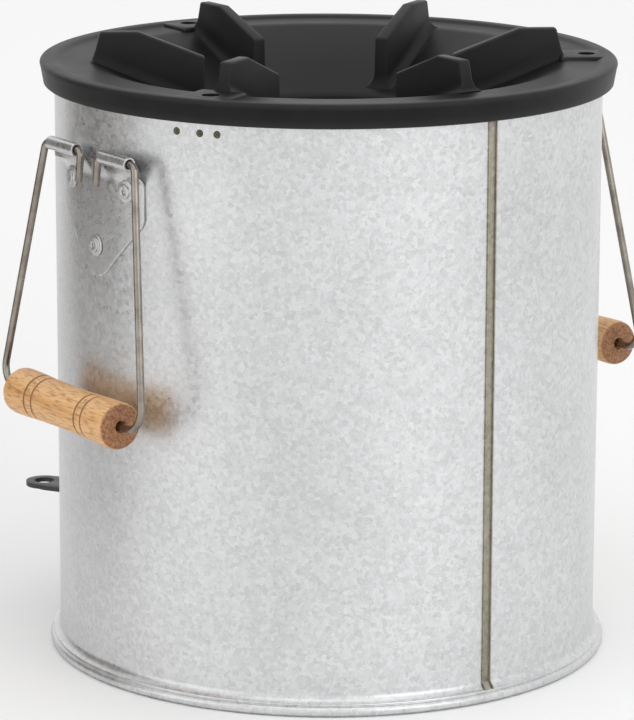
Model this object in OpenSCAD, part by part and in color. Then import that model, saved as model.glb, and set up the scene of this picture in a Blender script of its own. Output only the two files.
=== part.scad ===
// Portable bucket-type charcoal stove with a cast pot-rest top.
// Millimetres, +Z up, origin at the centre of the flat underside, -Y is the ash-drawer side.
// Angles called a are measured round the axis from -Y towards +X.

/* [Body] */
// Outside diameter of the galvanised drum
shell_d = 265; // [255:1:280]
// Sheet thickness of the drum
sheet_t = 1; // [0.8:0.1:1.2]
// Height of the drum's top edge
shell_top_z = 284; // [270:1:300]
// How far the rolled bottom bead stands out from the drum
bead_out = 4.9; // [4:0.1:5.4]
// Width of the folded lock seam at the back
seam_w = 4.8; // [4:0.2:7]
// Angle of the lock seam
seam_a = 179; // [170:1:190]

/* [Pot rest] */
// Outside diameter of the casting at its rim
rim_d = 279.4; // [279:0.2:292]
// How far the rim skirt hangs down over the drum
skirt_drop = 5; // [3:0.5:5.5]
// Turn of the casting on the drum
top_a = -1; // [-5:1:5]
// Diameter of the chimney mouth
mouth_d = 104; // [100:1:106]
// Height of the fin tops above the drum's top edge
fin_rise = 19.4; // [14:0.2:24]
// Thickness of each fin
fin_t = 6.6; // [5:0.2:9]
// Number of fins, every second one with a screw lug
fin_count = 6; // [6:6:6]
// Width of a screw lug
lug_w = 23; // [18:1:26]

/* [Bail handles] */
// Height of the two hinge lines
hinge_z = 257; // [250:0.1:260]
// Distance of the hinge lines from the axis
hinge_r = 137; // [136.6:0.1:138]
// Wire diameter
wire_d = 3.6; // [3:0.1:4]
// Drop from the hinge line to the grip's axis
bail_drop = 121.3; // [115:0.1:124]
// Outward lean of a bail at rest, in degrees
bail_lean = 5.7; // [5:0.1:7]
// Length of the wooden grip
grip_l = 88; // [80:1:92]
// Largest diameter of the wooden grip
grip_d = 22.4; // [18:0.2:23]

/* [Air shutter] */
// Underside height of the lever
lever_z = 57.6; // [57.5:0.1:57.9]
// Reach of the lever's tip from the axis
lever_reach = 168.4; // [165:0.2:172]
// Width of the lever
lever_w = 20.4; // [19.6:0.2:21]
// Diameter of the eye in the lever's tip
lever_eye_d = 10; // [6:0.5:11]
// Angle of the lever at rest
lever_a = 30; // [30:1:30]

/* [Fire chamber] */
// Outside diameter of the ceramic liner
liner_d = 150; // [140:1:180]
// Height of the ledge that carries the grate
ledge_z = 90; // [80:1:110]
// Diameter of the grate
grate_d = 102; // [96:1:102.4]

/* [Ash drawer] */
// Width of the tray
tray_w = 116; // [100:1:116]
// Length of the tray behind the axis
tray_back = 75; // [60:1:85]
// Height of the tray's rim above the floor
tray_top_z = 43; // [36:1:44]

/* [Hidden] */
shell_r = shell_d / 2;
inner_r = shell_r - sheet_t;
bead_r = shell_r + bead_out;
rim_r = rim_d / 2;
mouth_r = mouth_d / 2;
fin_top_z = shell_top_z + fin_rise;
ring_z = shell_top_z + 6.5;
pan_z = shell_top_z + 5;
bowl_z = shell_top_z - 21;
lug_r = 125.5;
screw_a = [top_a, top_a + 120, top_a + 240];
ear_in = shell_r + 0.05;
ear_out = ear_in + 1;
ear_half = 34;
barrel_r = 3.25;
wire_r = wire_d / 2;
rivet_r = 2.4;
rivet_sz = [[-23, hinge_z - 15], [23, hinge_z - 15], [0, hinge_z - 44]];
bail_path = [[7.5, -14.5], [7.5, -2], [9.5, 0], [35.9, 0], [38.9, -2.4], [59.5, 11.9 - bail_drop],
             [57.4, 3.6 - bail_drop], [49.7, -bail_drop], [-0.5, -bail_drop]];
shelf_z = 61.5;
shelf_t = 1.2;
lever_t = 2.3;
disc_z = lever_z + lever_t + 0.05;
disc_t = 1.2;
pivot_r = 3;
slot_half = 37.5;
sector_a = [90, 210, 330];
open_w = 120;
open_z0 = 10.3;
open_z1 = 46;
tray_z = 11.3;
tray_r = shell_r + 0.45;
front_in = tray_r + 0.05;
front_out = front_in + 1;
front_half = 30.5;
front_rivets = [[-20, 37], [20, 37], [-20, 18], [20, 18]];

$fn = 96;

// Turns a radial feature to angle a and stands it on radius r at height z, its +Z pointing outwards.
module radial(a, r, z) {
    rotate([0, 0, a])
        translate([0, -r, z])
            rotate([90, 0, 0])
                children();
}

// A ring segment of a profile, centred on angle a.
module segment(a, span) {
    rotate([0, 0, a - 90 - span / 2])
        rotate_extrude(angle = span)
            children();
}

// Rivet holes of one ear, cut through the ear and the drum.
module ear_holes(a) {
    for (p = rivet_sz)
        rotate([0, 0, a])
            translate([p[0], -120, p[1]])
                rotate([90, 0, 0])
                    cylinder(r = rivet_r + 0.05, h = 30);
}

// Galvanised drum with back seam, rolled bead, lever slot and drawer opening.
module outer_shell() {
    color([0.72, 0.74, 0.75])
        difference() {
            union() {
                rotate_extrude()
                    polygon([[inner_r, shell_top_z - 0.05], [shell_r, shell_top_z - 0.05], [shell_r, 9],
                             [bead_r - 1.2, 5.2], [bead_r - 1.2, 4.6], [bead_r, 3.4], [bead_r, 0.9],
                             [bead_r - 0.9, 0], [inner_r, 0]]);
                segment(seam_a, seam_w / shell_r * 57.2958)
                    translate([shell_r - 0.4, 9])
                        square([1, shell_top_z - 16]);
            }
            segment(0, 2 * slot_half)
                translate([120, lever_z - 0.7])
                    square([30, 4.5]);
            translate([-open_w / 2, -150, open_z0])
                cube([open_w, 60, open_z1 - open_z0]);
            ear_holes(90);
            ear_holes(270);
        }
}

// Flat bottom disc with an upturned edge inside the drum.
module base_pan() {
    color([0.68, 0.70, 0.71])
        difference() {
            cylinder(r = inner_r - 0.05, h = 9);
            translate([0, 0, 1])
                cylinder(r = inner_r - 1.05, h = 9);
        }
}

// Cast top: skirted rim, sloping bowl, chimney mouth, radial fins and screw lugs.
module pot_rest_top() {
    color([0.09, 0.09, 0.09])
        difference() {
            union() {
                rotate_extrude()
                    polygon([[mouth_r, bowl_z - 5], [112, shell_top_z], [shell_r + 1.5, shell_top_z],
                             [shell_r + 1.5, shell_top_z - skirt_drop], [rim_r - 2, shell_top_z - skirt_drop],
                             [rim_r - 0.4, ring_z - 2], [rim_r - 1, ring_z - 0.6], [rim_r - 2.4, ring_z],
                             [133, ring_z], [131, pan_z], [113, pan_z], [mouth_r, bowl_z]]);
                for (i = [0 : fin_count - 1])
                    rotate([0, 0, i * 60 + top_a - 90])
                        translate([0, fin_t / 2, 0])
                            rotate([90, 0, 0])
                                linear_extrude(height = fin_t)
                                    polygon([[60, shell_top_z - 20], [60, fin_top_z - 13], [61.5, fin_top_z - 11.8],
                                             [92.5, fin_top_z], [110.8, fin_top_z], [114, pan_z - 1]]);
                for (a = screw_a)
                    rotate([0, 0, a])
                        translate([-lug_w / 2, -133.5, pan_z - 2])
                            cube([lug_w, 20.5, ring_z - pan_z + 2]);
            }
            for (a = screw_a)
                rotate([0, 0, a])
                    translate([0, -lug_r, shell_top_z - 1])
                        cylinder(r = 2.7, h = 10);
            for (a = screw_a)
                rotate([0, 0, a])
                    translate([0, -lug_r, shell_top_z + 2.5])
                        cylinder(r = 4.2, h = 10);
        }
}

// Pan-head screws sunk in the lugs.
module top_screws() {
    color([0.25, 0.25, 0.26])
        for (a = screw_a)
            rotate([0, 0, a])
                translate([0, -lug_r, 0])
                    difference() {
                        union() {
                            translate([0, 0, shell_top_z - 13])
                                cylinder(r = 2.5, h = 16);
                            translate([0, 0, shell_top_z + 2.55])
                                cylinder(r = 3.8, h = 2.4);
                        }
                        translate([-0.6, -5, shell_top_z + 3.9])
                            cube([1.2, 10, 2]);
                    }
}

// Angle brackets spot-welded inside the drum's top edge.
module top_brackets() {
    color([0.66, 0.68, 0.69])
        for (a = screw_a)
            difference() {
                segment(a, 12.4)
                    polygon([[inner_r - 0.05, shell_top_z - 19], [inner_r - 0.05, shell_top_z - 3],
                             [117, shell_top_z - 3], [117, shell_top_z - 5],
                             [inner_r - 1.55, shell_top_z - 5], [inner_r - 1.55, shell_top_z - 19]]);
                rotate([0, 0, a])
                    translate([0, -lug_r, shell_top_z - 10])
                        cylinder(r = 2.7, h = 10);
            }
}

// Hexagon nuts under the brackets.
module bracket_nuts() {
    color([0.55, 0.56, 0.57])
        for (a = screw_a)
            rotate([0, 0, a])
                translate([0, -lug_r, shell_top_z - 9.05])
                    difference() {
                        cylinder(r = 4.3, h = 4, $fn = 6);
                        translate([0, 0, -1])
                            cylinder(r = 2.55, h = 6);
                    }
}

// Fired clay liner with an inside ledge for the grate.
module ceramic_liner() {
    color([0.42, 0.20, 0.13])
        rotate_extrude()
            polygon([[liner_d / 2, shelf_z + shelf_t + 0.05], [liner_d / 2, bowl_z - 5.2],
                     [mouth_r, bowl_z - 5.2], [mouth_r, ledge_z], [46, ledge_z],
                     [46, shelf_z + shelf_t + 0.05]]);
}

// Packed mineral insulation between liner and drum.
module insulation_fill() {
    color([0.78, 0.74, 0.64])
        rotate_extrude()
            translate([liner_d / 2 + 0.05, shelf_z + shelf_t + 0.05])
                square([126 - liner_d / 2, shell_top_z - 29 - shelf_z - shelf_t]);
}

// Pressed shelf with three air openings, carrying liner and fill.
module shelf_pan() {
    color([0.66, 0.68, 0.69])
        difference() {
            rotate_extrude()
                polygon([[pivot_r + 0.05, shelf_z], [inner_r - 0.05, shelf_z], [inner_r - 0.05, shelf_z + 13],
                         [inner_r - 1.25, shelf_z + 13], [inner_r - 1.25, shelf_z + shelf_t],
                         [pivot_r + 0.05, shelf_z + shelf_t]]);
            for (a = sector_a)
                segment(a, 56)
                    translate([18, shelf_z - 1])
                        square([26, 4]);
        }
}

// Round cast grate with a pattern of holes.
module fire_grate() {
    color([0.16, 0.15, 0.15])
        difference() {
            translate([0, 0, ledge_z + 0.3])
                cylinder(r = grate_d / 2, h = 8);
            translate([0, 0, ledge_z - 1])
                cylinder(r = 4.5, h = 12);
            for (i = [0 : 5])
                rotate([0, 0, i * 60])
                    translate([19, 0, ledge_z - 1])
                        cylinder(r = 4.5, h = 12);
            for (i = [0 : 11])
                rotate([0, 0, i * 30])
                    translate([38, 0, ledge_z - 1])
                        cylinder(r = 4.5, h = 12);
        }
}

// Turning shutter disc under the shelf, with matching openings.
module air_shutter() {
    color([0.60, 0.62, 0.63])
        difference() {
            translate([0, 0, disc_z])
                cylinder(r = 60, h = disc_t);
            translate([0, 0, disc_z - 1])
                cylinder(r = pivot_r + 0.05, h = 4);
            for (a = sector_a)
                segment(a, 56)
                    translate([18, disc_z - 1])
                        square([26, 4]);
            lever_holes();
        }
}

// Two rivet holes shared by shutter and lever.
module lever_holes() {
    for (r = [49, 56])
        rotate([0, 0, lever_a])
            translate([0, -r, lever_z - 1])
                cylinder(r = 1.65, h = 8);
}

// Flat lever that reaches out through the drum's slot and ends in an eye.
module shutter_lever() {
    color([0.13, 0.13, 0.13])
        difference() {
            rotate([0, 0, lever_a])
                translate([0, 0, lever_z])
                    linear_extrude(height = lever_t) {
                        polygon([[-lever_w / 2, -44], [-lever_w / 2, 14.2 - lever_reach],
                                 [1.6 - lever_w / 2, 8 - lever_reach], [lever_w / 2 - 1.6, 8 - lever_reach],
                                 [lever_w / 2, 14.2 - lever_reach], [lever_w / 2, -44]]);
                        translate([0, 9.2 - lever_reach])
                            circle(r = 9.2);
                    }
            rotate([0, 0, lever_a])
                translate([0, 9.2 - lever_reach, lever_z - 1])
                    cylinder(r = lever_eye_d / 2, h = 6);
            lever_holes();
        }
}

// Rivets joining lever and shutter.
module lever_rivets() {
    color([0.55, 0.56, 0.57])
        for (r = [49, 56])
            rotate([0, 0, lever_a])
                translate([0, -r, 0]) {
                    translate([0, 0, lever_z - 1.2])
                        cylinder(r = 3, h = 1.15);
                    translate([0, 0, lever_z - 0.1])
                        cylinder(r = 1.6, h = lever_t + disc_t + 0.1);
                }
}

// Headed pin on which the shutter turns.
module shutter_pivot() {
    color([0.55, 0.56, 0.57])
        union() {
            translate([0, 0, disc_z - 1.55])
                cylinder(r = 6, h = 1.25);
            translate([0, 0, disc_z - 0.5])
                cylinder(r = pivot_r, h = shelf_z + shelf_t - disc_z + 0.6);
            translate([0, 0, shelf_z + shelf_t + 0.05])
                cylinder(r = 5, h = 1.4);
        }
}

// Outline of the tray, its front following the drum's curve.
module tray_plan(half, back, front_r) {
    intersection() {
        translate([-half, -160])
            square([2 * half, 160 + back]);
        circle(r = front_r);
    }
}

// Rivet holes shared by drawer front and tray.
module front_holes() {
    for (p = front_rivets)
        radial(p[0], 125, p[1])
            cylinder(r = 1.65, h = 16);
}

// Sheet ash tray with upright walls.
module ash_tray() {
    color([0.66, 0.68, 0.69])
        difference() {
            translate([0, 0, tray_z])
                linear_extrude(height = tray_top_z - tray_z)
                    tray_plan(tray_w / 2, tray_back, tray_r);
            translate([0, 0, tray_z + 1])
                linear_extrude(height = tray_top_z)
                    tray_plan(tray_w / 2 - 1, tray_back - 1, tray_r - 1);
            front_holes();
        }
}

// Curved cover plate of the drawer, lapping over the opening's edges.
module drawer_front() {
    color([0.72, 0.74, 0.75])
        difference() {
            segment(0, 2 * front_half)
                translate([front_in, 10.6])
                    square([1, 39.2]);
            front_holes();
        }
}

// Bent wire pull.
module drawer_pull() {
    color([0.60, 0.60, 0.60])
        difference() {
            union() {
                for (x = [-20, 20])
                    translate([x, -130, 28])
                        rotate([90, 0, 0])
                            cylinder(r = 2.4, h = 22);
                for (x = [-20, 20])
                    translate([x, -152, 28])
                        sphere(r = 2.4);
                translate([-20, -152, 28])
                    rotate([0, 90, 0])
                        cylinder(r = 2.4, h = 40);
            }
            translate([0, 0, 20])
                cylinder(r = front_out + 0.03, h = 20);
        }
}

// Rivets joining drawer front and tray.
module drawer_rivets() {
    color([0.70, 0.71, 0.72])
        for (p = front_rivets)
            radial(p[0], tray_r - 2.3, p[1]) {
                cylinder(r = 3, h = 1.2);
                cylinder(r = 1.6, h = 4.6);
                translate([0, 0, 3.4])
                    cylinder(r = 3.2, h = 1.3);
            }
}

// Two folded rails on the base pan that carry and guide the tray.
module drawer_rails() {
    color([0.62, 0.64, 0.65])
        for (m = [0, 1])
            mirror([m, 0, 0])
                translate([0, 80, 0])
                    rotate([90, 0, 0])
                        linear_extrude(height = 188)
                            polygon([[59.2, 1.05], [69, 1.05], [69, 2.05], [60.2, 2.05], [60.2, 24],
                                     [59.2, 24], [59.2, 11], [50, 11], [50, 10], [59.2, 10]]);
}

// Shield-shaped ear plate with two rolled hinge barrels.
module ear(a) {
    color([0.74, 0.76, 0.77])
        difference() {
            union() {
                intersection() {
                    difference() {
                        translate([0, 0, 185])
                            cylinder(r = ear_out, h = 69);
                        translate([0, 0, 184])
                            cylinder(r = ear_in, h = 72);
                    }
                    rotate([0, 0, a])
                        translate([0, -100, 0])
                            rotate([90, 0, 0])
                                linear_extrude(height = 50) {
                                    translate([-ear_half, hinge_z - 29.7])
                                        square([2 * ear_half, 21.2]);
                                    polygon([[-ear_half, hinge_z - 29.7], [-8.15, hinge_z - 55.5],
                                             [8.15, hinge_z - 55.5], [ear_half, hinge_z - 29.7]]);
                                    translate([0, hinge_z - 46.7])
                                        circle(r = 12);
                                }
                }
                rotate([0, 0, a])
                    for (s = [-34.5, 11])
                        difference() {
                            union() {
                                translate([s, -hinge_r, hinge_z])
                                    rotate([0, 90, 0])
                                        cylinder(r = barrel_r, h = 23.5);
                                translate([s, barrel_r - hinge_r - 1.15, hinge_z - 9.7])
                                    cube([23.5, 1.15, 9.7]);
                                translate([s, barrel_r - hinge_r - 1.15, hinge_z - 9.7])
                                    cube([23.5, 12, 1.2]);
                            }
                            translate([s - 1, -hinge_r, hinge_z])
                                rotate([0, 90, 0])
                                    cylinder(r = wire_r + 0.3, h = 28);
                        }
            }
            translate([0, 0, 180])
                cylinder(r = ear_in, h = 90);
            ear_holes(a);
        }
}

module right_ear() {
    ear(90);
}

module left_ear() {
    ear(270);
}

// Blind rivets holding one ear.
module ear_rivets(a) {
    color([0.78, 0.79, 0.80])
        for (p = rivet_sz)
            rotate([0, 0, a + asin(p[0] / shell_r)])
                translate([0, -ear_out - 0.1, p[1]])
                    rotate([90, 0, 0])
                        difference() {
                            union() {
                                cylinder(r = 5.25, h = 0.9);
                                translate([0, 0, 0.8])
                                    cylinder(r = 3.4, h = 1.5);
                                translate([0, 0, -3.2])
                                    cylinder(r = rivet_r - 0.5, h = 3.3);
                                translate([0, 0, -5.2])
                                    cylinder(r = 3, h = 2.9);
                            }
                            translate([0, 0, 1])
                                cylinder(r = 1.1, h = 3);
                        }
}

module right_ear_rivets() {
    ear_rivets(90);
}

module left_ear_rivets() {
    ear_rivets(270);
}

// Straight run of wire between two points (s, z) of the bail's plane.
module rod(p, q) {
    translate([p[0], 0, p[1]])
        rotate([0, atan2(q[0] - p[0], q[1] - p[1]), 0])
            cylinder(r = wire_r, h = norm(q - p), $fn = 32);
}

// One side of the bail: hook end, hinge run, leg and half of the grip run.
module bail_side() {
    for (i = [0 : len(bail_path) - 2])
        rod(bail_path[i], bail_path[i + 1]);
    for (i = [1 : len(bail_path) - 2])
        translate([bail_path[i][0], 0, bail_path[i][1]])
            sphere(r = wire_r + 0.03, $fn = 32);
}

// Wire bail hanging from one ear.
module bail(a) {
    color([0.62, 0.60, 0.56])
        rotate([0, 0, a])
            translate([0, -hinge_r, hinge_z])
                rotate([-bail_lean, 0, 0]) {
                    bail_side();
                    mirror([1, 0, 0])
                        bail_side();
                }
}

module right_bail() {
    bail(90);
}

module left_bail() {
    bail(270);
}

// Turned beech grip that spins on the wire.
module grip(a) {
    color([0.80, 0.60, 0.38])
        rotate([0, 0, a])
            translate([0, -hinge_r, hinge_z])
                rotate([-bail_lean, 0, 0])
                    translate([0, 0, -bail_drop])
                        rotate([0, 90, 0])
                            rotate_extrude($fn = 72)
                                polygon([[2.6, -grip_l / 2], [grip_d / 2 - 2.2, -grip_l / 2],
                                         [grip_d / 2 - 0.6, 0.7 - grip_l / 2], [grip_d / 2, 2.8 - grip_l / 2],
                                         [grip_d / 2 - 0.1, -31], [grip_d / 2 - 0.3, -25.6],
                                         [grip_d / 2 - 0.9, -25], [grip_d / 2 - 0.35, -24.4],
                                         [grip_d / 2 - 0.5, -19.6], [grip_d / 2 - 1.1, -19],
                                         [grip_d / 2 - 0.55, -18.4], [grip_d / 2 - 0.75, 0],
                                         [grip_d / 2 - 0.55, 18.4], [grip_d / 2 - 1.1, 19],
                                         [grip_d / 2 - 0.5, 19.6], [grip_d / 2 - 0.35, 24.4],
                                         [grip_d / 2 - 0.9, 25], [grip_d / 2 - 0.3, 25.6],
                                         [grip_d / 2 - 0.1, 31], [grip_d / 2, grip_l / 2 - 2.8],
                                         [grip_d / 2 - 0.6, grip_l / 2 - 0.7], [grip_d / 2 - 2.2, grip_l / 2],
                                         [2.6, grip_l / 2]]);
}

module right_grip() {
    grip(90);
}

module left_grip() {
    grip(270);
}

outer_shell();
base_pan();
pot_rest_top();
top_screws();
top_brackets();
bracket_nuts();
ceramic_liner();
insulation_fill();
shelf_pan();
fire_grate();
air_shutter();
shutter_lever();
lever_rivets();
shutter_pivot();
ash_tray();
drawer_front();
drawer_pull();
drawer_rivets();
drawer_rails();
right_ear();
left_ear();
right_ear_rivets();
left_ear_rivets();
right_bail();
left_bail();
right_grip();
left_grip();
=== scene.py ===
import math

import bpy
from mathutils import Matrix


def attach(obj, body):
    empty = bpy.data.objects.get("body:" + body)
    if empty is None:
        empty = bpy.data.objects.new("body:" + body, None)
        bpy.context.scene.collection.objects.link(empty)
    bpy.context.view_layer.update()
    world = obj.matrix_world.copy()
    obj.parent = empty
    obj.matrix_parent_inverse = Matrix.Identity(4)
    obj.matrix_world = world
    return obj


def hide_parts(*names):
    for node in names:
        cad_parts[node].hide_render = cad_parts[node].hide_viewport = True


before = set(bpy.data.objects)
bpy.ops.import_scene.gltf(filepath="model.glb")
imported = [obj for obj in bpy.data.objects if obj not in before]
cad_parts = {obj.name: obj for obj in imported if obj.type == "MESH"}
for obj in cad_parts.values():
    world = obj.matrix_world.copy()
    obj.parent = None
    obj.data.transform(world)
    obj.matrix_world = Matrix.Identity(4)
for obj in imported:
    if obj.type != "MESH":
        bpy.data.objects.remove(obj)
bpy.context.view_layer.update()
bpy.ops.object.select_all(action="DESELECT")

# ---------------------------------------------------------------- studio
# A long lens a little above the rim, a white table that runs back out of view,
# and large soft lights: one overhead, one on each side of the camera.

CAMERA_TURN = math.radians(144.6)
CAMERA_RISE = math.radians(13.43)
CAMERA_DISTANCE = 2.0

ahead = (math.sin(CAMERA_TURN), -math.cos(CAMERA_TURN))
aside = (math.cos(CAMERA_TURN), math.sin(CAMERA_TURN))
aim = (-0.0066 * aside[0], -0.0066 * aside[1], 0.1393)
bpy.ops.object.camera_add(
    location=(
        aim[0] + CAMERA_DISTANCE * ahead[0] * math.cos(CAMERA_RISE),
        aim[1] + CAMERA_DISTANCE * ahead[1] * math.cos(CAMERA_RISE),
        aim[2] + CAMERA_DISTANCE * math.sin(CAMERA_RISE),
    ),
    rotation=(math.pi / 2 - CAMERA_RISE, -0.003, CAMERA_TURN),
)
camera = bpy.context.object
camera.name = "camera"
camera.data.lens = 203.25
camera.data.sensor_width = 36
camera.data.clip_end = 50
bpy.context.scene.camera = camera


def soft_light(name, turn, rise, distance, size, power, tint=(1, 1, 1)):
    """A square area light that looks at the middle of the drum, placed by its angle from the camera."""
    a = CAMERA_TURN + math.radians(turn)
    e = math.radians(rise)
    bpy.ops.object.light_add(
        type="AREA",
        location=(
            distance * math.sin(a) * math.cos(e),
            -distance * math.cos(a) * math.cos(e),
            0.15 + distance * math.sin(e),
        ),
        rotation=(math.pi / 2 - e, 0, a),
    )
    light = bpy.context.object
    light.name = name
    light.data.size = size
    light.data.energy = power
    light.data.color = tint
    return light


soft_light("light_overhead", 10, 78, 1.9, 1.6, 4)
soft_light("light_left", -62, 18, 1.8, 1.3, 2)
soft_light("light_right", 38, 24, 2.0, 1.2, 5)

world = bpy.data.worlds.new("studio_white")
bpy.context.scene.world = world
world.use_nodes = True
world.node_tree.nodes["Background"].inputs["Color"].default_value = (1, 1, 1, 1)
world.node_tree.nodes["Background"].inputs["Strength"].default_value = 1.0
bpy.context.scene.view_settings.view_transform = "Standard"

bpy.ops.mesh.primitive_plane_add(size=12, location=(0, 0, 0))
table = bpy.context.object
table.name = "table_top"
bpy.ops.object.transform_apply()
table_white = bpy.data.materials.new("table_white")
table_white.use_nodes = True
table_white.node_tree.nodes["Principled BSDF"].inputs["Base Color"].default_value = (0.9, 0.9, 0.9, 1)
table_white.node_tree.nodes["Principled BSDF"].inputs["Roughness"].default_value = 0.85
table.data.materials.append(table_white)

# A grey card beside the drum darkens the reflection along its left edge. It is out of this camera's
# frame, but it hides the drum from low cameras at azimuths of about 5 to 70 degrees.
CARD_TURN = CAMERA_TURN - math.radians(107)
bpy.ops.mesh.primitive_plane_add(
    size=0.9, location=(math.sin(CARD_TURN), -math.cos(CARD_TURN), 0.46), rotation=(math.pi / 2, 0, CARD_TURN)
)
card = bpy.context.object
card.name = "grey_card"
bpy.ops.object.transform_apply()
card_grey = bpy.data.materials.new("card_grey")
card_grey.use_nodes = True
card_grey.node_tree.nodes["Principled BSDF"].inputs["Base Color"].default_value = (0.20, 0.18, 0.165, 1)
card_grey.node_tree.nodes["Principled BSDF"].inputs["Roughness"].default_value = 0.9
card.data.materials.append(card_grey)

# ---------------------------------------------------------------- drum
# Hot-dip galvanised sheet rolled to a 265 mm drum, closed by a folded lock seam
# down the back and flared at the foot into a rolled bead. The ash opening and the
# lever's slot are cut through the front. Three spot welds mark each inner bracket.

DRUM_R = 0.1325
DRUM_TOP = 0.28395
SEAM_TURN = 179
TOP_TURN = -1
WELD_TURNS = (TOP_TURN, TOP_TURN + 120, TOP_TURN + 240)


def turned(name, profile, sides=192, closed=True):
    """A body of revolution about Z, drawn from point to point of its (radius, height) profile."""
    bpy.ops.mesh.primitive_circle_add(vertices=sides, radius=profile[0][0], location=(0, 0, profile[0][1]))
    piece = bpy.context.object
    piece.name = name
    bpy.ops.object.transform_apply()
    bpy.ops.object.mode_set(mode="EDIT")
    bpy.ops.mesh.select_all(action="SELECT")
    points = list(profile) + ([profile[0]] if closed else [])
    for (r0, z0), (r1, z1) in zip(points, points[1:]):
        bpy.ops.mesh.extrude_region_move(TRANSFORM_OT_translate={"value": (0, 0, z1 - z0)})
        bpy.ops.transform.resize(value=(r1 / r0, r1 / r0, 1), center_override=(0, 0, z1))
    bpy.ops.mesh.select_all(action="SELECT")
    bpy.ops.mesh.remove_doubles(threshold=0.000002)
    bpy.ops.mesh.normals_make_consistent(inside=False)
    bpy.ops.object.mode_set(mode="OBJECT")
    return piece


def place(piece, turn=0, offset=(0, 0, 0), tilt=(0, 0, 0)):
    """Tilts a piece made at the origin, moves it out, turns it round the drum's axis, and applies it all."""
    piece.rotation_euler = tilt
    piece.location = offset
    alone(piece)
    bpy.ops.object.transform_apply()
    piece.rotation_euler = (0, 0, math.radians(turn))
    bpy.ops.object.transform_apply()
    return piece


def alone(piece):
    """Selects one piece and makes it active."""
    bpy.ops.object.select_all(action="DESELECT")
    piece.select_set(True)
    bpy.context.view_layer.objects.active = piece


def twin(piece, name):
    """A copy with its own mesh."""
    other = piece.copy()
    other.data = piece.data.copy()
    other.name = name
    bpy.context.scene.collection.objects.link(other)
    return other


def joined(name, pieces):
    """Several meshes made one piece."""
    bpy.ops.object.select_all(action="DESELECT")
    for p in pieces:
        p.select_set(True)
    bpy.context.view_layer.objects.active = pieces[0]
    bpy.ops.object.join()
    pieces[0].name = name
    return pieces[0]


def merged(piece, other, way):
    """Adds another closed shape to the piece, or takes it out, and removes it."""
    alone(piece)
    tool = piece.modifiers.new("tool", "BOOLEAN")
    tool.operation = way
    tool.solver = "EXACT"
    tool.object = other
    bpy.ops.object.modifier_apply(modifier=tool.name)
    bpy.data.objects.remove(other)


def softened(piece, width, steps=2, angle=35):
    """Rounds a piece's sharp edges and shades it smooth up to that angle."""
    alone(piece)
    edge = piece.modifiers.new("edge", "BEVEL")
    edge.width = width
    edge.segments = steps
    edge.limit_method = "ANGLE"
    edge.angle_limit = math.radians(angle)
    edge.use_clamp_overlap = True
    bpy.ops.object.modifier_apply(modifier=edge.name)
    bpy.ops.object.shade_smooth_by_angle(angle=math.radians(angle))
    return piece


def from_cad(node, name, width, steps=2):
    """A welded, softly edged copy of a CAD node, standing for it."""
    piece = twin(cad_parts[node], name)
    piece.parent = None
    for key in list(piece.keys()):
        del piece[key]
    piece.data.materials.clear()
    alone(piece)
    bpy.ops.object.mode_set(mode="EDIT")
    bpy.ops.mesh.select_all(action="SELECT")
    bpy.ops.mesh.remove_doubles(threshold=0.000005)
    bpy.ops.mesh.dissolve_limited(angle_limit=math.radians(0.5))
    bpy.ops.object.mode_set(mode="OBJECT")
    softened(piece, width, steps)
    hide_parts(node)
    return piece


drum = turned(
    "drum",
    [
        (DRUM_R - 0.001, DRUM_TOP),
        (DRUM_R - 0.0002, DRUM_TOP),
        (DRUM_R, DRUM_TOP - 0.0003),
        (DRUM_R, 0.0098),
        (DRUM_R + 0.0003, 0.0086),
        (DRUM_R + 0.0011, 0.0075),
        (DRUM_R + 0.0024, 0.0066),
        (DRUM_R + 0.0034, 0.0061),
        (DRUM_R + 0.0036, 0.0057),
        (DRUM_R + 0.0030, 0.0052),
        (DRUM_R + 0.0031, 0.0049),
        (DRUM_R + 0.0042, 0.0043),
        (DRUM_R + 0.0047, 0.0035),
        (DRUM_R + 0.0049, 0.0024),
        (DRUM_R + 0.0048, 0.0014),
        (DRUM_R + 0.0042, 0.0006),
        (DRUM_R + 0.0030, 0.0),
        (DRUM_R - 0.001, 0.0),
    ],
    sides=256,
)

bpy.ops.mesh.primitive_cube_add(size=1, location=(0, -0.13, 0.02815), scale=(0.12, 0.06, 0.0357))
ash_mouth = bpy.context.object
bpy.ops.object.transform_apply()
merged(drum, ash_mouth, "DIFFERENCE")

# The slot's cutter is a ring, of which bisect planes keep the front 75 degrees.
slot_ring = turned("slot_ring", [(0.125, 0.0569), (0.140, 0.0569), (0.140, 0.0614), (0.125, 0.0614)])
bpy.ops.object.mode_set(mode="EDIT")
for side in (-1, 1):
    bpy.ops.mesh.select_all(action="SELECT")
    half = math.radians(37.5)
    bpy.ops.mesh.bisect(
        plane_co=(0, 0, 0),
        plane_no=(side * math.cos(half), math.sin(half), 0),
        clear_outer=True,
        use_fill=True,
    )
bpy.ops.object.mode_set(mode="OBJECT")
merged(drum, slot_ring, "DIFFERENCE")
alone(drum)
bpy.ops.object.shade_smooth_by_angle(angle=math.radians(30))

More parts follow.
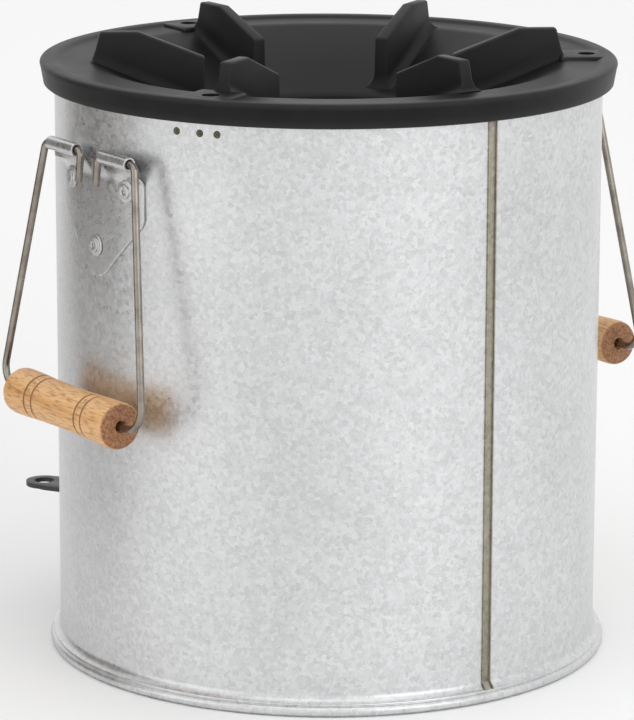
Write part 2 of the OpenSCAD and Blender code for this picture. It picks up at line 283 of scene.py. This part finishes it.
# The lock seam: a flat fold with a raised lip, laid on the drum
# from the rim down, and bent out over the flare to the bead.
SEAM_FOOT = 0.0092
SEAM_HEAD = 0.2785
seam_strips = []
for across, wide, proud in ((-0.0017, 0.0013, 0.0009), (0.0002, 0.0023, 0.0005), (0.0021, 0.0007, 0.0011)):
    for out, low, high, lean in ((0.0, SEAM_FOOT, SEAM_HEAD, 0.0), (0.0016, 0.0055, 0.0103, -0.74)):
        bpy.ops.mesh.primitive_cube_add(size=1, location=(0, 0, 0), scale=(wide, proud, high - low))
        strip = bpy.context.object
        bpy.ops.object.transform_apply()
        softened(strip, 0.0002)
        on_drum = -DRUM_R - out - proud / 2 + 0.0002
        seam_strips.append(place(strip, 0, (across, on_drum, (low + high) / 2), (lean, 0, 0)))
seam = joined("lock_seam", seam_strips)
place(seam, SEAM_TURN)

# Spot welds: shallow dished rings in groups of three, 10 mm below the drum's top edge.
POCK = (
    (0.0001, 0.00012),
    (0.0009, 0.00014),
    (0.0012, 0.00032),
    (0.0015, 0.00034),
    (0.0018, 0.0),
    (0.0001, 0.0),
)
weld_pocks = []
for turn in WELD_TURNS:
    for apart in (-6.2, -0.9, 2.9):
        pock = turned("pock", POCK, sides=24)
        place(pock, turn + apart, (0, -DRUM_R, 0.2737), (math.pi / 2, 0, 0))
        weld_pocks.append(pock)
spot_welds = joined("spot_welds", weld_pocks)
alone(spot_welds)
bpy.ops.object.shade_smooth()


def new_finish(name):
    """An empty procedural material: its node tree and its shader."""
    finish = bpy.data.materials.new(name)
    finish.use_nodes = True
    return finish, finish.node_tree, finish.node_tree.nodes["Principled BSDF"]


def step(tree, kind, settings=None, **sockets):
    """Adds a node. A socket's value is a number, a colour or another node's output."""
    node = tree.nodes.new("ShaderNode" + kind)
    for key, value in (settings or {}).items():
        setattr(node, key, value)
    for key, value in sockets.items():
        socket = node.inputs[int(key[1:])] if key[0] == "_" else node.inputs[key.replace("_", " ")]
        if isinstance(value, bpy.types.NodeSocket):
            tree.links.new(value, socket)
        else:
            socket.default_value = value
    return node


def ramp(tree, factor, *stops):
    """A colour ramp through (position, grey or colour) stops."""
    node = step(tree, "ValToRGB", _0=factor)
    elements = node.color_ramp.elements
    while len(elements) < len(stops):
        elements.new(0.5)
    for element, (place_at, colour) in zip(elements, stops):
        element.position = place_at
        element.color = (colour,) * 3 + (1,) if isinstance(colour, (int, float)) else tuple(colour) + (1,)
    return node.outputs["Color"]


def blended(tree, factor, first, second, way="MIX"):
    """Mixes two colours."""
    return step(tree, "MixRGB", {"blend_type": way}, Fac=factor, Color1=first, Color2=second).outputs["Color"]


def zinc_finish(name, spangle, depth, tone, rough, tint=(0.985, 0.992, 1.0)):
    """Galvanised zinc: crystal spangle of that contrast, soft cloudy patches and fine handling marks."""
    finish, tree, shader = new_finish(name)
    spot = step(tree, "TexCoord").outputs["Object"]
    crystals = step(tree, "TexVoronoi", {"feature": "F1"}, Vector=spot, Scale=470.0, Randomness=1.0)
    grains = step(tree, "TexVoronoi", {"feature": "F1"}, Vector=spot, Scale=1250.0, Randomness=1.0)
    clouds = step(tree, "TexNoise", None, Vector=spot, Scale=16.0, Detail=5.0, Roughness=0.6)
    mottle = step(tree, "TexNoise", None, Vector=spot, Scale=420.0, Detail=3.0, Roughness=0.65)
    big = step(tree, "SeparateColor", None, Color=crystals.outputs["Color"]).outputs[0]
    small = step(tree, "SeparateColor", None, Color=grains.outputs["Color"]).outputs[1]
    added = {"operation": "MULTIPLY_ADD"}
    speck = step(tree, "Math", added, _0=small, _1=0.55, _2=big).outputs[0]
    speck = step(tree, "Math", added, _0=mottle.outputs[0], _1=0.9, _2=speck).outputs[0]
    spread = step(tree, "MapRange", None, Value=speck, From_Min=0.2, From_Max=2.1).outputs[0]
    shade = ramp(tree, spread, (0.0, tone - spangle), (0.5, tone), (1.0, tone + spangle))
    cloud = ramp(tree, clouds.outputs[0], (0.3, 0.93), (0.7, 1.03))
    colour = blended(tree, 1.0, shade, cloud, "MULTIPLY")
    tree.links.new(blended(tree, 1.0, colour, tint + (1,), "MULTIPLY"), shader.inputs["Base Color"])
    stretched = step(tree, "Mapping", None, Vector=spot, Scale=(60.0, 60.0, 900.0)).outputs[0]
    rolled = step(tree, "TexNoise", None, Vector=stretched, Scale=1.0, Detail=2.0).outputs[0]
    duller = {"To_Min": rough - 0.07, "To_Max": rough + 0.09}
    matte = step(tree, "MapRange", None, Value=speck, From_Min=0.3, From_Max=2.0, **duller).outputs[0]
    matte = step(tree, "Math", added, _0=rolled, _1=0.06, _2=matte).outputs[0]
    tree.links.new(matte, shader.inputs["Roughness"])
    relief = step(tree, "Bump", None, Strength=depth, Distance=0.0002, Height=speck).outputs[0]
    tree.links.new(relief, shader.inputs["Normal"])
    shader.inputs["Metallic"].default_value = 1.0
    return finish


def painted(piece, finish):
    """Gives a piece its one material."""
    piece.data.materials.clear()
    piece.data.materials.append(finish)


drum_zinc = zinc_finish("drum_zinc", 0.11, 0.35, 0.66, 0.29)
painted(drum, drum_zinc)
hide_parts("outer_shell")
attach(drum, "stove_body")

# The seam's zinc is darker than the sheet: painted shade in its fold. It is also browner.
shaded_seam_zinc = zinc_finish("shaded_seam_zinc", 0.10, 0.2, 0.34, 0.42, (1.0, 0.93, 0.74))
painted(seam, shaded_seam_zinc)
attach(seam, "stove_body")

weld_scale = zinc_finish("weld_scale", 0.06, 0.4, 0.14, 0.5, (1.0, 0.93, 0.66))
painted(spot_welds, weld_scale)
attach(spot_welds, "stove_body")

# ---------------------------------------------------------------- base and rails
# A flat zinc disc clinched into the bead closes the drum from below. Two folded
# rails are spot-welded to it and carry the ash tray.

plain_zinc = zinc_finish("plain_zinc", 0.09, 0.25, 0.62, 0.42)
for node, name in (("base_pan", "bottom_pan"), ("drawer_rails", "tray_rails")):
    pan = from_cad(node, name, 0.0002)
    painted(pan, plain_zinc)
    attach(pan, "stove_body")

# ---------------------------------------------------------------- ash drawer
# A folded zinc tray behind a curved cover plate, held together by four rivets.
# A bent wire pull is welded to the plate.

for node, name in (("ash_tray", "tray"), ("drawer_front", "cover_plate")):
    sheet_part = from_cad(node, name, 0.00025)
    painted(sheet_part, plain_zinc if node == "ash_tray" else drum_zinc)
    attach(sheet_part, "drawer")


def rivet_finish(name, tone):
    """Cold-formed rivet metal with a duller, dirty film."""
    finish, tree, shader = new_finish(name)
    spot = step(tree, "TexCoord").outputs["Object"]
    film = step(tree, "TexNoise", None, Vector=spot, Scale=260.0, Detail=4.0, Roughness=0.6)
    grime = ramp(tree, film.outputs[0], (0.3, tone - 0.12), (0.7, tone + 0.06))
    tree.links.new(grime, shader.inputs["Base Color"])
    matte = step(tree, "MapRange", None, Value=film.outputs[0], To_Min=0.25, To_Max=0.5).outputs[0]
    tree.links.new(matte, shader.inputs["Roughness"])
    relief = step(tree, "Bump", None, Strength=0.15, Distance=0.0002, Height=film.outputs[0]).outputs[0]
    tree.links.new(relief, shader.inputs["Normal"])
    shader.inputs["Metallic"].default_value = 1.0
    return finish


rivet_zinc = rivet_finish("rivet_zinc", 0.62)
plate_rivets = from_cad("drawer_rivets", "plate_rivets", 0.0004, 3)
painted(plate_rivets, rivet_zinc)
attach(plate_rivets, "drawer")


def wire_run(name, thick, start, heading, moves, sides=20):
    """Round wire: each move goes straight by a vector or turns by (angle, centre, axis, steps)."""
    bpy.ops.mesh.primitive_circle_add(vertices=sides, radius=thick / 2, location=start, rotation=heading)
    wire = bpy.context.object
    wire.name = name
    bpy.ops.object.transform_apply()
    bpy.ops.object.mode_set(mode="EDIT")
    bpy.ops.mesh.select_all(action="SELECT")
    for move in moves:
        if len(move) == 3:
            bpy.ops.mesh.extrude_region_move(TRANSFORM_OT_translate={"value": move})
        else:
            angle, centre, axis, steps = move
            bpy.ops.mesh.spin(steps=steps, angle=-angle, center=centre, axis=axis)
    bpy.ops.mesh.select_all(action="SELECT")
    bpy.ops.mesh.remove_doubles(threshold=0.000002)
    bpy.ops.object.mode_set(mode="OBJECT")
    return wire


def closed_off(wire):
    """Caps a wire's open ends, turns its faces outwards and shades it."""
    alone(wire)
    bpy.ops.object.mode_set(mode="EDIT")
    bpy.ops.mesh.select_all(action="SELECT")
    bpy.ops.mesh.fill_holes(sides=0)
    bpy.ops.mesh.select_all(action="SELECT")
    bpy.ops.mesh.normals_make_consistent(inside=False)
    bpy.ops.object.mode_set(mode="OBJECT")
    return softened(wire, 0.0003, 2, 50)


PULL_Z = 0.028
PULL_OUT = -0.152
pull = wire_run(
    "wire_pull",
    0.0048,
    (-0.020, -0.1335, PULL_Z),
    (math.pi / 2, 0, 0),
    [
        (0, PULL_OUT + 0.006 + 0.1335, 0),
        (math.pi / 2, (-0.014, PULL_OUT + 0.006, PULL_Z), (0, 0, 1), 8),
        (0.028, 0, 0),
        (math.pi / 2, (0.014, PULL_OUT + 0.006, PULL_Z), (0, 0, 1), 8),
        (0, -PULL_OUT - 0.006 - 0.1335, 0),
    ],
)
closed_off(pull)


def wire_finish(name):
    """Drawn steel wire, hazy in patches, finely pitted, with a warm cast."""
    finish, tree, shader = new_finish(name)
    spot = step(tree, "TexCoord").outputs["Object"]
    haze = step(tree, "TexNoise", None, Vector=spot, Scale=90.0, Detail=4.0, Roughness=0.6)
    pits = step(tree, "TexNoise", None, Vector=spot, Scale=1500.0, Detail=2.0)
    body = ramp(tree, haze.outputs[0], (0.3, (0.20, 0.175, 0.15)), (0.7, (0.38, 0.345, 0.30)))
    tree.links.new(body, shader.inputs["Base Color"])
    matte = step(tree, "MapRange", None, Value=haze.outputs[0], To_Min=0.16, To_Max=0.36).outputs[0]
    tree.links.new(matte, shader.inputs["Roughness"])
    relief = step(tree, "Bump", None, Strength=0.08, Distance=0.0001, Height=pits.outputs[0]).outputs[0]
    tree.links.new(relief, shader.inputs["Normal"])
    shader.inputs["Metallic"].default_value = 1.0
    return finish


bright_wire = wire_finish("bright_wire")
painted(pull, bright_wire)
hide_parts("drawer_pull")
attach(pull, "drawer")

# ---------------------------------------------------------------- shelf and air shutter
# A pressed shelf carries the liner and has three air openings. A disc with the same
# openings turns under it on a headed pin, moved by a black lever riveted to it.

shelf = from_cad("shelf_pan", "shelf", 0.0002)
painted(shelf, plain_zinc)
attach(shelf, "stove_body")

shutter_disc = from_cad("air_shutter", "shutter_disc", 0.0002)
painted(shutter_disc, plain_zinc)
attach(shutter_disc, "shutter")

pivot = from_cad("shutter_pivot", "shutter_pin", 0.0004, 3)
painted(pivot, rivet_zinc)
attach(pivot, "stove_body")

lever_pins = from_cad("lever_rivets", "lever_pins", 0.0003, 2)
painted(lever_pins, rivet_zinc)
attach(lever_pins, "shutter")

lever = from_cad("shutter_lever", "lever", 0.0005, 3)


def black_paint():
    """Baked black enamel on steel, slightly uneven, with the metal grey where edges are rubbed."""
    finish, tree, shader = new_finish("black_enamel")
    spot = step(tree, "TexCoord").outputs["Object"]
    dust = step(tree, "TexNoise", None, Vector=spot, Scale=70.0, Detail=6.0, Roughness=0.65)
    peel = step(tree, "TexNoise", None, Vector=spot, Scale=900.0, Detail=2.0)
    worn = step(tree, "NewGeometry").outputs["Pointiness"]
    rub = ramp(tree, worn, (0.52, 0.0), (0.60, 0.55))
    body = ramp(tree, dust.outputs[0], (0.3, 0.018), (0.75, 0.034))
    tree.links.new(blended(tree, rub, body, (0.12, 0.12, 0.12, 1)), shader.inputs["Base Color"])
    matte = step(tree, "MapRange", None, Value=dust.outputs[0], To_Min=0.34, To_Max=0.56).outputs[0]
    tree.links.new(matte, shader.inputs["Roughness"])
    relief = step(tree, "Bump", None, Strength=0.12, Distance=0.0002, Height=peel.outputs[0]).outputs[0]
    tree.links.new(relief, shader.inputs["Normal"])
    return finish


painted(lever, black_paint())
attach(lever, "shutter")

# ---------------------------------------------------------------- fire chamber
# A thick fired-clay liner stands on the shelf, packed round with mineral wool. A cast
# grate with drilled holes rests loose on the ledge inside it.


def clay_finish(name, light, dark, grain):
    """Coarse fired clay or packed mineral, with grog specks and soot in patches."""
    finish, tree, shader = new_finish(name)
    spot = step(tree, "TexCoord").outputs["Object"]
    patch = step(tree, "TexNoise", None, Vector=spot, Scale=22.0, Detail=6.0, Roughness=0.6)
    grog = step(tree, "TexVoronoi", None, Vector=spot, Scale=grain)
    fine = step(tree, "TexNoise", None, Vector=spot, Scale=grain * 2.2, Detail=5.0, Roughness=0.7)
    body = ramp(tree, patch.outputs[0], (0.32, dark), (0.68, light))
    speck = ramp(tree, grog.outputs["Distance"], (0.1, 1.12), (0.6, 0.86))
    tree.links.new(blended(tree, 1.0, body, speck, "MULTIPLY"), shader.inputs["Base Color"])
    shader.inputs["Roughness"].default_value = 0.92
    relief = step(tree, "Bump", None, Strength=0.5, Distance=0.0005, Height=fine.outputs[0]).outputs[0]
    tree.links.new(relief, shader.inputs["Normal"])
    return finish


liner = from_cad("ceramic_liner", "clay_liner", 0.0015, 4)
painted(liner, clay_finish("fired_clay", (0.25, 0.085, 0.045), (0.13, 0.045, 0.028), 260.0))
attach(liner, "stove_body")

fill = from_cad("insulation_fill", "mineral_packing", 0.003, 3)
painted(fill, clay_finish("mineral_packing", (0.62, 0.57, 0.46), (0.48, 0.43, 0.34), 180.0))
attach(fill, "stove_body")


def iron_finish():
    """Sand-cast iron under satin black stove paint: fine sand grain, rubbed grey on proud edges."""
    finish, tree, shader = new_finish("black_iron")
    shader.inputs["Specular IOR Level"].default_value = 0.16
    spot = step(tree, "TexCoord").outputs["Object"]
    sand = step(tree, "TexNoise", None, Vector=spot, Scale=850.0, Detail=4.0, Roughness=0.6)
    waves = step(tree, "TexNoise", None, Vector=spot, Scale=42.0, Detail=4.0, Roughness=0.55)
    worn = step(tree, "NewGeometry").outputs["Pointiness"]
    rub = ramp(tree, worn, (0.505, 0.0), (0.56, 0.45))
    body = ramp(tree, waves.outputs[0], (0.3, 0.0045), (0.72, 0.010))
    tree.links.new(blended(tree, rub, body, (0.045, 0.045, 0.047, 1)), shader.inputs["Base Color"])
    matte = step(tree, "MapRange", None, Value=waves.outputs[0], To_Min=0.36, To_Max=0.52).outputs[0]
    tree.links.new(matte, shader.inputs["Roughness"])
    swell = {"_0": waves.outputs[0], "_1": 2.0, "_2": sand.outputs[0]}
    height = step(tree, "Math", {"operation": "MULTIPLY_ADD"}, **swell).outputs[0]
    relief = step(tree, "Bump", None, Strength=0.22, Distance=0.0003, Height=height).outputs[0]
    tree.links.new(relief, shader.inputs["Normal"])
    return finish


black_iron = iron_finish()
grate = from_cad("fire_grate", "grate_plate", 0.0008, 3)
painted(grate, black_iron)
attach(grate, "grate")

# ---------------------------------------------------------------- pot rest
# One iron casting: a skirted rim that caps the drum, a dished bowl down to the chimney
# mouth, six drafted fins with soft feet, and three lugs with sunk screw holes.

RIM_TOP = 0.2905
MOUTH_R = 0.052
BOWL_Z = 0.263

casting = turned(
    "casting",
    [
        (MOUTH_R + 0.0006, 0.2582),
        (0.112, 0.284),
        (0.134, 0.284),
        (0.134, 0.2792),
        (0.1342, 0.279),
        (0.1372, 0.279),
        (0.1378, 0.2795),
        (0.1384, 0.2830),
        (0.1392, 0.2875),
        (0.1395, 0.2886),
        (0.1394, 0.2893),
        (0.1390, 0.2899),
        (0.1383, 0.2903),
        (0.1372, RIM_TOP),
        (0.1335, RIM_TOP),
        (0.1322, 0.2903),
        (0.1311, 0.2898),
        (0.1300, 0.2893),
        (0.1289, 0.2890),
        (0.1160, 0.2890),
        (0.1135, 0.28885),
        (0.1110, 0.2882),
        (0.0800, 0.2749),
        (MOUTH_R + 0.0022, 0.2639),
        (MOUTH_R + 0.0007, 0.2630),
        (MOUTH_R + 0.0001, 0.2618),
        (MOUTH_R, 0.2592),
    ],
    sides=256,
)

# Raised lugs under alternate fins, drilled and sunk for their screws.
LUG_R = 0.1255
for turn in WELD_TURNS:
    bpy.ops.mesh.primitive_cube_add(size=1, location=(0, -0.1225, 0.2882), scale=(0.0238, 0.0220, 0.0046))
    lug = bpy.context.object
    bpy.ops.object.transform_apply()
    softened(lug, 0.0015, 4)
    merged(casting, place(lug, turn), "UNION")
for turn in WELD_TURNS:
    for bore, foot in ((0.0027, 0.282), (0.0042, 0.2865)):
        bpy.ops.mesh.primitive_cylinder_add(
            vertices=48, radius=bore, depth=0.02, location=(0, -LUG_R, foot + 0.01)
        )
        drill = bpy.context.object
        bpy.ops.object.transform_apply()
        merged(casting, place(drill, turn), "DIFFERENCE")


def pick(piece, wanted):
    """Leaves the piece in edit mode with the vertices selected whose place passes the test."""
    alone(piece)
    bpy.ops.object.mode_set(mode="EDIT")
    bpy.ops.mesh.select_mode(type="VERT")
    bpy.ops.mesh.select_all(action="DESELECT")
    bpy.ops.object.mode_set(mode="OBJECT")
    for v in piece.data.vertices:
        v.select = wanted(v.co)
    bpy.ops.object.mode_set(mode="EDIT")


def sliced(piece, point, normal, drop=True):
    """Cuts a piece by a plane, and drops what lies on the normal's side."""
    alone(piece)
    bpy.ops.object.mode_set(mode="EDIT")
    bpy.ops.mesh.select_all(action="SELECT")
    bpy.ops.mesh.bisect(plane_co=point, plane_no=normal, clear_outer=drop, use_fill=drop)
    bpy.ops.object.mode_set(mode="OBJECT")


# One fin, from a block: top sloped towards the mouth, outer end drafted, both sides drafted,
# edges rounded as cast. Cuts that follow the bowl then let its foot spread into a fillet.
FIN_IN = 0.060
FIN_OUT = 0.114
FIN_TOP = 0.3034
BOWL_TILT = math.atan((0.28885 - BOWL_Z) / (0.1135 - MOUTH_R))
TOP_TILT = math.atan(0.39)
bpy.ops.mesh.primitive_cube_add(
    size=1, location=(0, -(FIN_IN + FIN_OUT) / 2, FIN_TOP - 0.0225), scale=(0.0082, FIN_OUT - FIN_IN, 0.045)
)
fin = bpy.context.object
bpy.ops.object.transform_apply()
sliced(fin, (0, -0.0615, 0.2914), (0, math.sin(TOP_TILT), math.cos(TOP_TILT)))
sliced(fin, (0, -FIN_OUT, 0.2890), (0, -0.970, 0.243))
sliced(fin, (0, -FIN_IN, 0.2900), (0, 0.996, 0.087))
for side in (-1, 1):
    sliced(fin, (side * 0.0030, 0, FIN_TOP), (side * 0.9998, 0, 0.019))
softened(fin, 0.0011, 3)


def above_bowl(co):
    """Height of a point over the bowl's sloping face."""
    return (co.z - BOWL_Z) * math.cos(BOWL_TILT) + (co.y + MOUTH_R) * math.sin(BOWL_TILT)


sliced(fin, (0, -MOUTH_R, BOWL_Z - 0.0022), (0, -math.sin(BOWL_TILT), -math.cos(BOWL_TILT)))
bowl_normal = (0, math.sin(BOWL_TILT), math.cos(BOWL_TILT))
FOOT = (
    (-0.0020, 0.0052),
    (0.0003, 0.0036),
    (0.0010, 0.0022),
    (0.0021, 0.0011),
    (0.0037, 0.0004),
    (0.0058, 0.0),
)
for lift, spread in FOOT[1:]:
    sliced(fin, (0, -MOUTH_R, BOWL_Z + lift / math.cos(BOWL_TILT)), bowl_normal, False)
for lift, spread in FOOT[:-1]:
    for side in (-1, 1):
        pick(fin, lambda co: abs(above_bowl(co) - lift) < 0.00015 and co.x * side > 0.0015)
        bpy.ops.transform.translate(value=(side * spread, 0, 0))
        bpy.ops.object.mode_set(mode="OBJECT")
    pick(fin, lambda co: abs(above_bowl(co) - lift) < 0.00015 and co.y > -FIN_IN - 0.003)
    inward = 0.6 * spread
    bpy.ops.transform.translate(value=(0, inward * math.cos(BOWL_TILT), -inward * math.sin(BOWL_TILT)))
    bpy.ops.object.mode_set(mode="OBJECT")
    pick(fin, lambda co: abs(above_bowl(co) - lift) < 0.00015 and co.y < -FIN_OUT + 0.003)
    bpy.ops.transform.translate(value=(0, -spread * 0.35, 0))
    bpy.ops.object.mode_set(mode="OBJECT")
for turn in range(60, 360, 60):
    merged(casting, place(twin(fin, "fin_copy"), TOP_TURN + turn), "UNION")
merged(casting, place(fin, TOP_TURN), "UNION")
alone(casting)
bpy.ops.object.shade_smooth_by_angle(angle=math.radians(38))

painted(casting, black_iron)
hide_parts("pot_rest_top")
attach(casting, "stove_body")

# ---------------------------------------------------------------- top fixings
# Three angle brackets are spot-welded inside the drum. A slotted screw in each lug
# runs down through the bracket into a nut and clamps the casting on.

brackets = from_cad("top_brackets", "angle_brackets", 0.0003)
painted(brackets, plain_zinc)
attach(brackets, "stove_body")

dark_steel = rivet_finish("dark_steel", 0.26)
for node, name in (("top_screws", "lug_screws"), ("bracket_nuts", "hex_nuts")):
    fixing = from_cad(node, name, 0.0004, 3)
    painted(fixing, dark_steel)
    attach(fixing, "stove_body")

# ---------------------------------------------------------------- ears
# A shield-shaped zinc plate on each side follows the drum, stands off at the top and is
# rolled into two hinge barrels. Three blind rivets hold each plate.

HINGE_R = 0.137
HINGE_Z = 0.257
EAR_HALF = 0.034
EAR_HEAD = 0.254
TIP_Z = 0.2103
TIP_R = 0.012
BARREL_R = 0.00325
BARREL_S = 0.02275

EAR_FOOT = 0.192
bpy.ops.mesh.primitive_grid_add(
    x_subdivisions=56,
    y_subdivisions=48,
    size=1,
    location=(0, 0, (EAR_HEAD + EAR_FOOT) / 2),
    rotation=(math.pi / 2, 0, 0),
)
ear = bpy.context.object
ear.scale = (2 * EAR_HALF, EAR_HEAD - EAR_FOOT, 1)
bpy.ops.object.transform_apply()
for centre_x, centre_z, radius, leans in (
    (0, TIP_Z, TIP_R, (-45, -37, -28, -20, -12, -4, 4, 12, 20, 28, 37, 45)),
    (0.026, 0.2306, 0.008, (51, 58, 66, 74, 82)),
    (-0.026, 0.2306, 0.008, (-51, -58, -66, -74, -82)),
):
    for lean in leans:
        out = (math.sin(math.radians(lean)), 0, -math.cos(math.radians(lean)))
        alone(ear)
        bpy.ops.object.mode_set(mode="EDIT")
        bpy.ops.mesh.select_all(action="SELECT")
        bpy.ops.mesh.bisect(
            plane_co=(centre_x + radius * out[0], 0, centre_z + radius * out[2]),
            plane_no=out,
            clear_outer=True,
        )
        bpy.ops.object.mode_set(mode="OBJECT")
# Wrapped on the drum, then eased out to the straight hinge line over the top 7 mm.
for v in ear.data.vertices:
    on_drum = math.sqrt((DRUM_R + 0.0006) ** 2 - v.co.x ** 2)
    ease = min(1, max(0, (v.co.z - 0.2455) / 0.007))
    ease = ease * ease * (3 - 2 * ease)
    v.co.y = -(on_drum + (HINGE_R - BARREL_R + 0.0005 - on_drum) * ease)
sheet = ear.modifiers.new("sheet", "SOLIDIFY")
sheet.thickness = 0.001
sheet.offset = 0
alone(ear)
bpy.ops.object.modifier_apply(modifier=sheet.name)
bpy.ops.object.mode_set(mode="EDIT")
bpy.ops.mesh.select_all(action="SELECT")
bpy.ops.mesh.normals_make_consistent(inside=False)
bpy.ops.object.mode_set(mode="OBJECT")
softened(ear, 0.00025, 2, 50)
ear_bits = [ear]
for side in (-1, 1):
    barrel = turned(
        "barrel",
        [(0.0021, -0.01145), (0.0024, -0.01175), (0.0030, -0.01175), (BARREL_R, -0.01145),
         (BARREL_R, 0.01145), (0.0030, 0.01175), (0.0024, 0.01175), (0.0021, 0.01145)],
        sides=40,
    )
    place(barrel, 0, (side * BARREL_S, -HINGE_R, HINGE_Z), (0, math.pi / 2, 0))
    alone(barrel)
    bpy.ops.object.shade_smooth_by_angle(angle=math.radians(35))
    bpy.ops.mesh.primitive_cube_add(
        size=1,
        location=(side * BARREL_S, -HINGE_R + BARREL_R - 0.0005, HINGE_Z - 0.0032),
        scale=(0.0235, 0.001, 0.0068),
    )
    leaf = bpy.context.object
    bpy.ops.object.transform_apply()
    ear_bits += [barrel, softened(leaf, 0.0002)]
ear = joined("ear", ear_bits)

ear_zinc = zinc_finish("ear_zinc", 0.05, 0.12, 0.62, 0.27)
for side, turn in (("right", 90), ("left", 270)):
    plate = place(twin(ear, side + "_ear_plate"), turn)
    painted(plate, ear_zinc)
    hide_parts(side + "_ear")
    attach(plate, "stove_body")
    rivets = from_cad(side + "_ear_rivets", side + "_blind_rivets", 0.0004, 3)
    painted(rivets, rivet_zinc)
    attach(rivets, "stove_body")
bpy.data.objects.remove(ear)

# ---------------------------------------------------------------- bails and grips
# Each bail is one length of 3.6 mm steel wire: it hooks through both barrels, splays
# down to the grip and runs through it. The grip is turned beech and spins on the wire.

WIRE = 0.0036
BAIL_DROP = 0.1213
BAIL_LEAN = math.radians(5.7)
SPLAY = math.atan2(0.0232, BAIL_DROP)
LEG = 0.1081
half_bail = wire_run(
    "half_bail",
    WIRE,
    (0.0075, 0, -0.0145),
    (0, 0, 0),
    [
        (0, 0, 0.0115),
        (math.pi / 2, (0.0105, 0, -0.003), (0, 1, 0), 8),
        (0.02479, 0, 0),
        (math.pi / 2 - SPLAY, (0.03529, 0, -0.004), (0, 1, 0), 8),
        (LEG * math.sin(SPLAY), 0, -LEG * math.cos(SPLAY)),
        (math.pi / 2 + SPLAY, (0.04971, 0, -0.1113), (0, 1, 0), 14),
        (-0.04971, 0, 0),
    ],
)
other_half = half_bail.modifiers.new("other_half", "MIRROR")
other_half.merge_threshold = 0.0002
alone(half_bail)
bpy.ops.object.modifier_apply(modifier=other_half.name)
bail = closed_off(half_bail)

grip_side = [
    (0.0098, 0.0440), (0.0105, 0.0435), (0.0110, 0.0425), (0.0112, 0.0409), (0.0112, 0.0385),
    (0.0111, 0.0330), (0.0110, 0.0290), (0.0109, 0.0262), (0.0108, 0.0258), (0.0102, 0.0253),
    (0.0101, 0.0250), (0.0102, 0.0247), (0.0107, 0.0242), (0.0108, 0.0238), (0.0107, 0.0210),
    (0.0106, 0.0202), (0.0105, 0.0198), (0.0100, 0.0193), (0.0099, 0.0190), (0.0100, 0.0187),
    (0.0105, 0.0182), (0.0106, 0.0178), (0.0105, 0.0120), (0.0104, 0.0050),
]
bore_side = [(0.0026, 0.0405), (0.0026, 0.0433), (0.0030, 0.0440)]
grip = turned(
    "grip",
    [(r, -z) for r, z in bore_side]
    + [(r, -z) for r, z in grip_side]
    + [(r, z) for r, z in reversed(grip_side)]
    + [(r, z) for r, z in reversed(bore_side)],
    sides=96,
)
bpy.ops.object.shade_smooth_by_angle(angle=math.radians(50))
place(grip, 0, (0, 0, -BAIL_DROP), (0, math.pi / 2, 0))


def beech_finish():
    """Turned beech with grain along the grip, short dark flecks, painted shade in its two grooves and darker
    end grain.
    """
    finish, tree, shader = new_finish("turned_beech")
    spot = step(tree, "TexCoord").outputs["Object"]
    along = step(tree, "Mapping", None, Vector=spot, Scale=(190.0, 11.0, 190.0)).outputs[0]
    grain = step(tree, "TexNoise", None, Vector=along, Scale=1.0, Detail=5.0, Roughness=0.6, Distortion=0.6)
    short = step(tree, "Mapping", None, Vector=spot, Scale=(1100.0, 150.0, 1100.0)).outputs[0]
    fleck = step(tree, "TexNoise", None, Vector=short, Scale=1.0, Detail=2.0, Roughness=0.5)
    brown, straw, pale = (0.55, 0.27, 0.095), (0.74, 0.42, 0.18), (0.82, 0.52, 0.26)
    body = ramp(tree, grain.outputs[0], (0.28, brown), (0.5, straw), (0.74, pale))
    body = blended(tree, 1.0, body, ramp(tree, fleck.outputs[0], (0.36, 0.62), (0.5, 1.0)), "MULTIPLY")
    length = step(tree, "SeparateXYZ", None, Vector=spot).outputs["Y"]
    reach = step(tree, "Math", {"operation": "ABSOLUTE"}, _0=length).outputs[0]
    # Darker brown in the two grooves: painted shade in them.
    inner = step(tree, "Math", {"operation": "COMPARE"}, _0=reach, _1=0.0190, _2=0.0007).outputs[0]
    outer = step(tree, "Math", {"operation": "COMPARE"}, _0=reach, _1=0.0250, _2=0.0007).outputs[0]
    groove = step(tree, "Math", {"operation": "ADD"}, _0=inner, _1=outer).outputs[0]
    body = blended(tree, groove, body, (0.27, 0.12, 0.045, 1))
    end = step(tree, "MapRange", None, Value=reach, From_Min=0.0425, From_Max=0.0437).outputs[0]
    pores = step(tree, "TexNoise", None, Vector=spot, Scale=800.0, Detail=3.0)
    sawn = ramp(tree, pores.outputs[0], (0.35, (0.16, 0.065, 0.025)), (0.65, (0.38, 0.17, 0.07)))
    body = blended(tree, end, body, sawn)
    tree.links.new(body, shader.inputs["Base Color"])
    matte = step(tree, "MapRange", None, Value=grain.outputs[0], To_Min=0.38, To_Max=0.58).outputs[0]
    tree.links.new(matte, shader.inputs["Roughness"])
    relief = step(tree, "Bump", None, Strength=0.25, Distance=0.0003, Height=fleck.outputs[0]).outputs[0]
    tree.links.new(relief, shader.inputs["Normal"])
    return finish


turned_beech = beech_finish()
for side, turn in (("right", 90), ("left", 270)):
    hung = (0, -HINGE_R, HINGE_Z)
    side_bail = place(twin(bail, side + "_bail_wire"), turn, hung, (-BAIL_LEAN, 0, 0))
    painted(side_bail, bright_wire)
    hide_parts(side + "_bail")
    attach(side_bail, side + "_bail_body")
    side_grip = place(twin(grip, side + "_beech_grip"), turn, hung, (-BAIL_LEAN, 0, 0))
    painted(side_grip, turned_beech)
    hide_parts(side + "_grip")
    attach(side_grip, side + "_grip_body")
bpy.data.objects.remove(bail)
bpy.data.objects.remove(grip)
